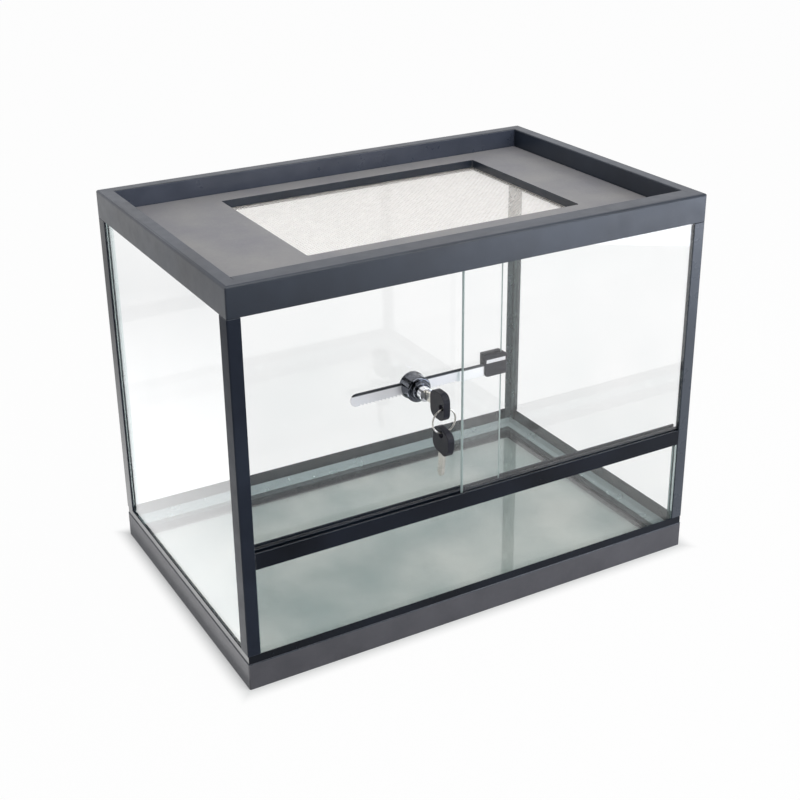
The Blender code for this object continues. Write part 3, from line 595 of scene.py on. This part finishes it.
# The housing's chrome is painted a darker grey, a painted reflection of the dark side of the room.
CHROME_PAINTED_DARK = chrome("chrome_painted_dark_reflection", "#6e7178")
BAR_PAINTED_GLARE = plated_bar()
NICKEL = nickel()
NYLON = nylon()
print("metals:", [made.name for made in (CHROME, CHROME_PAINTED_DARK, BAR_PAINTED_GLARE, NICKEL)], "and", NYLON.name)

# %% [markdown]
# ## The lock
#
# The bar is hooked to the free edge of the inner door and runs through the lock, which grips its
# teeth. The key turns the barrel, and a ring joins it to a spare key. The solids have the teeth, the
# bores and the keys' cuts, so they are copied with fine rounds: 0.1 to 0.5 mm is what casting,
# stamping and moulding leave. The clip gets one more part, the bright end of the bar across its front.

# %% Helpers: the bright end of the bar on its clip
def edit_faces(piece, chosen):
    """Enters edit mode with just the faces that pass the test selected."""
    edit_all(piece)
    bpy.ops.mesh.select_mode(type="FACE")
    bpy.ops.mesh.select_all(action="DESELECT")
    bpy.ops.object.mode_set(mode="OBJECT")
    for face in piece.data.polygons:
        face.select = chosen(face)
    bpy.ops.object.mode_set(mode="EDIT")


SEAT_DEPTH = 0.3 * MM


def add_steel_hook(clip):
    """The bar's bright end shows as a strip across the clip, which is set back a little to seat it."""
    low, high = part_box("bar_clip")
    edit_faces(clip, lambda face: face.normal.y < -0.9 and face.center.y < low.y + 0.1 * MM)
    bpy.ops.transform.translate(value=(0.0, SEAT_DEPTH, 0.0))
    start = (low.x + 1.6 * MM, low.y, high.z - 5.4 * MM)
    end = (high.x - 2.0 * MM, low.y + MM, high.z - 2.6 * MM)
    strip = box_between("strip", start, end)
    strip.data.materials.append(CHROME)
    clip.select_set(True)
    bpy.context.view_layer.objects.active = clip
    bpy.ops.object.join()


# %% Lock pieces
LOCK_PIECES = {
    "ratchet_bar": ("lock_bar", 0.2 * MM, BAR_PAINTED_GLARE, "left_door", "chrome_plate"),
    "door_clip": ("bar_clip", 0.5 * MM, NYLON, "left_door", "key_plastic"),
    "lock_body": ("lock_housing", 0.2 * MM, CHROME_PAINTED_DARK, "lock", "chrome_plate"),
    "lock_barrel": ("lock_plug", 0.15 * MM, CHROME, "key", "chrome_plate"),
    "key_shank": ("key_blade", 0.15 * MM, NICKEL, "key", "nickel_steel"),
    "key_bow": ("key_head", 0.3 * MM, NYLON, "key", "key_plastic"),
    "spare_shank": ("spare_key_blade", 0.15 * MM, NICKEL, "spare_key", "nickel_steel"),
    "spare_bow": ("spare_key_head", 0.3 * MM, NYLON, "spare_key", "key_plastic"),
    "split_ring": ("key_ring", 0.1 * MM, NICKEL, "ring", "nickel_steel"),
}
for name, (node, radius, material, body, slot) in LOCK_PIECES.items():
    piece = moulding(name, node, radius, material, sharper_than=45)
    if name == "door_clip":
        add_steel_hook(piece)
    hand_over(piece, body, [node])

# The pawl is hidden inside the lock, so its solid stays as it is.
NODES["lock_pawl"].material_slots[0].material = NICKEL

# %% [markdown]
# ## The floor
#
# A product photograph stands its subject on a pale sweep of paper, so there is no horizon. A curved
# sheet and many lamps would give the same, but their light would wash out the tank. So the floor is a
# plain pale plane. To the camera, and to anything that reflects or looks through glass, it glows white
# outside the tank's own footprint, while its diffuse part still takes the tank's shadow. Two dark
# patches on it, in front and to the left, show in reflections only. They stand for the dark things in
# a studio, and give the black plastic its darker and lighter sides.

# %% Helpers: where the paper glows, and how brightly
TANK_HALF = (200 * MM, 129 * MM, 0.0)
# The glow starts a little inside the tank's edge and is full a little outside it.
GLOW_STARTS, GLOW_FULL, GLOW = -8 * MM, 14 * MM, 0.97
# Each dark patch: its middle, how far its full shade and its last shade reach, and the light left.
DARK_SPOTS = (((-0.35, -0.75, 0.0), 0.35, 0.9, 0.0), ((-0.75, 0.3, 0.0), 0.4, 0.85, 0.35))
WHITE = (1.0, 1.0, 1.0, 1.0)


def outside_the_tank(tree, place):
    """0 under the tank, rising to nearly 1 just outside it, so that the contact shadow stays."""
    moved = add(tree, "ShaderNodeVectorMath", {0: place, 1: TANK_CENTRE}, operation="SUBTRACT")
    folded = add(tree, "ShaderNodeVectorMath", {0: moved.outputs[0]}, operation="ABSOLUTE")
    inputs = {0: folded.outputs[0], 1: TANK_HALF}
    reach = add(tree, "ShaderNodeVectorMath", inputs, operation="SUBTRACT")
    sides = add(tree, "ShaderNodeSeparateXYZ", {0: reach.outputs[0]}).outputs
    outside = add(tree, "ShaderNodeMath", {0: sides[0], 1: sides[1]}, operation="MAXIMUM").outputs[0]
    inputs = {"Value": outside, "From Min": GLOW_STARTS, "From Max": GLOW_FULL, "To Max": GLOW}
    return add(tree, "ShaderNodeMapRange", inputs, interpolation_type="SMOOTHSTEP").outputs[0]


def shaded_white(tree, place):
    """White, but greyer in the two dark patches."""
    lit = []
    for spot, first, last, least in DARK_SPOTS:
        near = add(tree, "ShaderNodeVectorMath", {0: place, 1: spot}, operation="DISTANCE")
        inputs = {"Value": near.outputs["Value"], "From Min": first, "From Max": last, "To Min": least}
        lit.append(add(tree, "ShaderNodeMapRange", inputs).outputs[0])
    darkest = add(tree, "ShaderNodeMath", {0: lit[0], 1: lit[1]}, operation="MINIMUM").outputs[0]
    inputs = {0: darkest, 6: linear("#5f656f"), 7: WHITE}
    return add(tree, "ShaderNodeMix", inputs, data_type="RGBA").outputs[2]


print("dark patches at", [spot for spot, *_ in DARK_SPOTS])


# %% Material: the sweep of paper
def sweep_paper():
    # Matt white paper, which glows for rays that come from the camera, a reflection or through glass.
    surface = {"Base Color": linear("#d9d9d6"), "Roughness": 0.9, "Specular IOR Level": 0.0}
    made, tree, shader, place = new_material("white_sweep_paper", surface)
    # A ray that has passed through glass also counts as glossy, so those are taken off.
    path = add(tree, "ShaderNodeLightPath").outputs
    inputs = {0: path["Is Glossy Ray"], 1: path["Is Transmission Ray"]}
    bounced = add(tree, "ShaderNodeMath", inputs, operation="SUBTRACT", use_clamp=True).outputs[0]
    inputs = {0: bounced, 6: WHITE, 7: shaded_white(tree, place)}
    colour = add(tree, "ShaderNodeMix", inputs, data_type="RGBA").outputs[2]
    glow = add(tree, "ShaderNodeEmission", {"Color": colour, "Strength": 1.0}).outputs[0]
    inputs = {0: path["Is Camera Ray"], 1: path["Is Transmission Ray"]}
    direct = add(tree, "ShaderNodeMath", inputs, operation="ADD").outputs[0]
    inputs = {0: direct, 1: path["Is Glossy Ray"]}
    seen = add(tree, "ShaderNodeMath", inputs, operation="ADD", use_clamp=True).outputs[0]
    inputs = {0: seen, 1: outside_the_tank(tree, place)}
    share = add(tree, "ShaderNodeMath", inputs, operation="MULTIPLY").outputs[0]
    mixed = add(tree, "ShaderNodeMixShader", {0: share, 1: shader.outputs[0], 2: glow})
    tree.links.new(mixed.outputs[0], tree.nodes["Material Output"].inputs["Surface"])
    return made


PAPER = sweep_paper()
print("floor material:", PAPER.name, "with", len(PAPER.node_tree.nodes), "nodes")

# %% Floor
clean_start()
bpy.ops.mesh.primitive_plane_add(size=16.0)
floor = bpy.context.active_object
floor.name = "sweep"
floor.data.materials.append(PAPER)
print("floor:", floor.name, [round(side, 2) for side in floor.dimensions], "m")

# %% [markdown]
# ## The room
#
# The white room is the world. To the camera and through glass it is pure white. The light it gives
# is softer and greyer, so that colours come out as they are written, and in reflections it darkens
# towards the front, where a real studio has no white wall. A box of white cards would do the same,
# with more noise.

# %% World
DARK_SIDE = (-0.3, -0.94, 0.15)


def studio_world():
    world = bpy.data.worlds.new("studio")
    world.use_nodes = True
    tree = world.node_tree
    direction = add(tree, "ShaderNodeTexCoord").outputs["Generated"]
    inputs = {0: direction, 1: DARK_SIDE}
    towards = add(tree, "ShaderNodeVectorMath", inputs, operation="DOT_PRODUCT").outputs["Value"]
    inputs = {"Value": towards, "From Min": -0.05, "From Max": 0.55}
    dark = add(tree, "ShaderNodeMapRange", inputs, interpolation_type="SMOOTHSTEP").outputs[0]
    inputs = {0: dark, 6: linear("#fafbff"), 7: linear("#1c1e22")}
    mirrored = add(tree, "ShaderNodeMix", inputs, data_type="RGBA").outputs[2]
    path = add(tree, "ShaderNodeLightPath").outputs
    inputs = {0: path["Is Glossy Ray"], 6: linear("#b4b7bc"), 7: mirrored}
    shown = add(tree, "ShaderNodeMix", inputs, data_type="RGBA").outputs[2]
    inputs = {0: path["Is Camera Ray"], 1: path["Is Transmission Ray"]}
    seen = add(tree, "ShaderNodeMath", inputs, operation="ADD", use_clamp=True).outputs[0]
    inputs = {0: seen, 6: shown, 7: WHITE}
    colour = add(tree, "ShaderNodeMix", inputs, data_type="RGBA").outputs[2]
    tree.links.new(colour, tree.nodes["Background"].inputs["Color"])
    bpy.context.scene.world = world
    return world


print("world:", studio_world().name)

# %% [markdown]
# ## The lamps
#
# Soft light needs large lamps, so all four are area lamps. One hangs over the front and makes the deck
# and the rim's top light. A low one to the right puts the long highlight on the front band, a small one
# draws the moulded edges, and one lies on the floor to the left, where only reflections show it: it
# is the pale veil on the lower part of the left pane. Sun lamps would be simpler but give hard shadows.

# %% Lamps
def soft_box(name, place, target, size, watts, colour="#ffffff"):
    clean_start()
    bpy.ops.object.light_add(type="AREA", location=place)
    lamp = bpy.context.active_object
    lamp.name = name
    lamp.data.shape = "RECTANGLE"
    lamp.data.size, lamp.data.size_y = size
    lamp.data.energy = watts
    lamp.data.color = linear(colour)[:3]
    lamp.rotation_euler = (Vector(target) - Vector(place)).to_track_quat("-Z", "Y").to_euler()
    lamp.visible_camera = False
    lamp.visible_transmission = False
    print(f"{name}: {watts} W over {size[0]} x {size[1]} m")
    return lamp


tank_middle = (0.0, 0.02, 0.15)
soft_box("overhead", (0.0, -0.75, 1.55), tank_middle, (1.4, 1.4), 13.0)
soft_box("low_right", (0.7, -0.66, 0.14), (0.25, 0.0, 0.14), (0.85, 0.24), 2.7, "#e0e9fb")
soft_box("edge_light", (0.8, -1.2, 0.9), tank_middle, (0.5, 0.5), 4.0)
veil = soft_box("left_veil", (-0.355, 0.3, 0.004), (-0.355, 0.3, 1.0), (0.3, 1.1), 2.4)
veil.visible_diffuse = False
veil.data.spread = math.radians(140)

# %% [markdown]
# ## The camera
#
# The viewpoint was worked out from the tank's corners in the photograph: to the left of the front and
# above it, turned about the line of sight by half a degree, with a lens somewhat longer than normal. It
# could be aimed by hand, but then no edge would lie quite where the photograph has it. The small shift
# keeps the tank where it stands in the frame.

# %% Camera
AZIMUTH, ELEVATION, ROLL = (math.radians(angle) for angle in (-29.3924, 23.373, -0.6248))
AIM = Vector((0.0, 0.02329, 0.1697))
DISTANCE = 1.1208


def photo_camera():
    level = math.cos(ELEVATION)
    back = Vector((math.sin(AZIMUTH) * level, -math.cos(AZIMUTH) * level, math.sin(ELEVATION)))
    right = Vector((0.0, 0.0, 1.0)).cross(back).normalized()
    up = back.cross(right)
    turn = Matrix.Rotation(ROLL, 3, back)
    right, up = turn @ right, turn @ up
    matrix = Matrix((right, up, back)).transposed().to_4x4()
    matrix.translation = AIM + back * DISTANCE
    camera = bpy.data.objects.new("camera", bpy.data.cameras.new("camera"))
    bpy.context.scene.collection.objects.link(camera)
    camera.matrix_world = matrix
    camera.data.sensor_width = 36.0
    camera.data.lens = 61.692
    camera.data.shift_x = 0.00051
    camera.data.shift_y = -0.05111
    bpy.context.scene.camera = camera
    return camera


print("camera at", [round(value, 3) for value in photo_camera().matrix_world.translation])
bpy.context.scene.view_settings.view_transform = "Standard"

clean_start()
